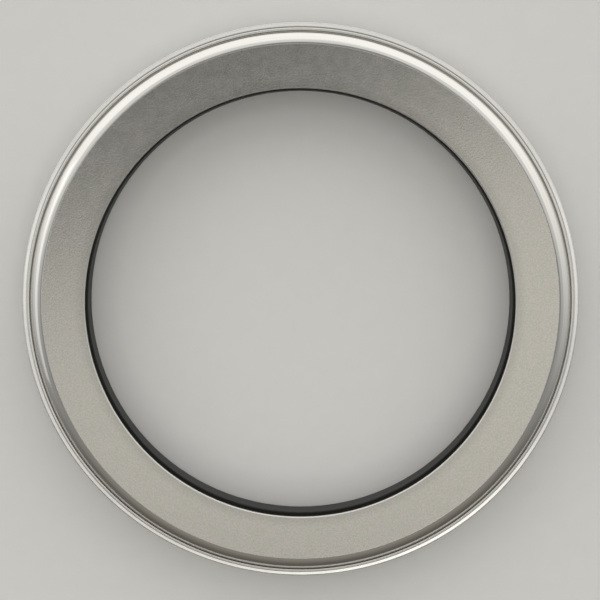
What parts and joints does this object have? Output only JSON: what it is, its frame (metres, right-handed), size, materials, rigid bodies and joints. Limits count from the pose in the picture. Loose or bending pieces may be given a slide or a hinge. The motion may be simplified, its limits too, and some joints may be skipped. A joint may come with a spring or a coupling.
{
  "type": "watch bezel",
  "caption": "Plain steel turning bezel unit for a watch: satin face, polished bevel and rounded rim, click mechanism, and a bore that presses on to the neck of the case.",
  "frame": {"origin": "middle of the underside, in the plane that rests on the case", "axes": "+Z along the axis of the bezel, out of the satin face; +X points at a ratchet key, +Y at a click ball"},
  "size_m": [0.04, 0.04, 0.0034],
  "materials": {
    "satin_steel": "fine satin on the flat face, polished on the bevel and at the edge of the hole",
    "polished_steel": "polished, fine handling marks",
    "dark_steel": "dark matt coating",
    "retainer_steel": "turned",
    "screw_steel": "polished heads",
    "spring_steel": "drawn",
    "ball_steel": "polished",
    "ratchet_brass": "machined",
    "white_polymer": "matt",
    "black_nylon": "semi-matt",
    "black_rubber": "matt",
    "adhesive": "matt"
  },
  "bodies": {
    "seat": {"seat_ring": "dark_steel", "case_gasket": "black_rubber", "dust_seal": "black_rubber", "thrust_washer": "white_polymer", "glide_washer": "white_polymer", "click_spring_1": "spring_steel", "click_spring_2": "spring_steel", "click_spring_3": "spring_steel"},
    "bezel": {"bezel_ring": "polished_steel", "insert_ring": "satin_steel", "insert_adhesive": "adhesive", "wiper_gasket": "black_nylon", "ratchet_ring": "ratchet_brass", "ratchet_keys": "spring_steel", "retainer_ring": "retainer_steel", "retainer_screws": "screw_steel", "wave_spring": "spring_steel"},
    "ball_1": {"click_ball_1": "ball_steel"},
    "ball_2": {"click_ball_2": "ball_steel"},
    "ball_3": {"click_ball_3": "ball_steel"}
  },
  "joints": [
    {"name": "bezel_turn", "type": "hinge", "parent": "seat", "child": "bezel", "pos_m": [0, 0, 0], "axis": [0, 0, 1], "continuous": true},
    {"name": "click_1", "type": "slide", "parent": "seat", "child": "ball_1", "axis": [0, 0, -1], "range_m": [0, 0.00012], "stiffness_N_per_m": 300, "deforming": ["click_spring_1"]},
    {"name": "click_2", "type": "slide", "parent": "seat", "child": "ball_2", "axis": [0, 0, -1], "range_m": [0, 0.00012], "stiffness_N_per_m": 300, "deforming": ["click_spring_2"]},
    {"name": "click_3", "type": "slide", "parent": "seat", "child": "ball_3", "axis": [0, 0, -1], "range_m": [0, 0.00012], "stiffness_N_per_m": 300, "deforming": ["click_spring_3"]}
  ]
}
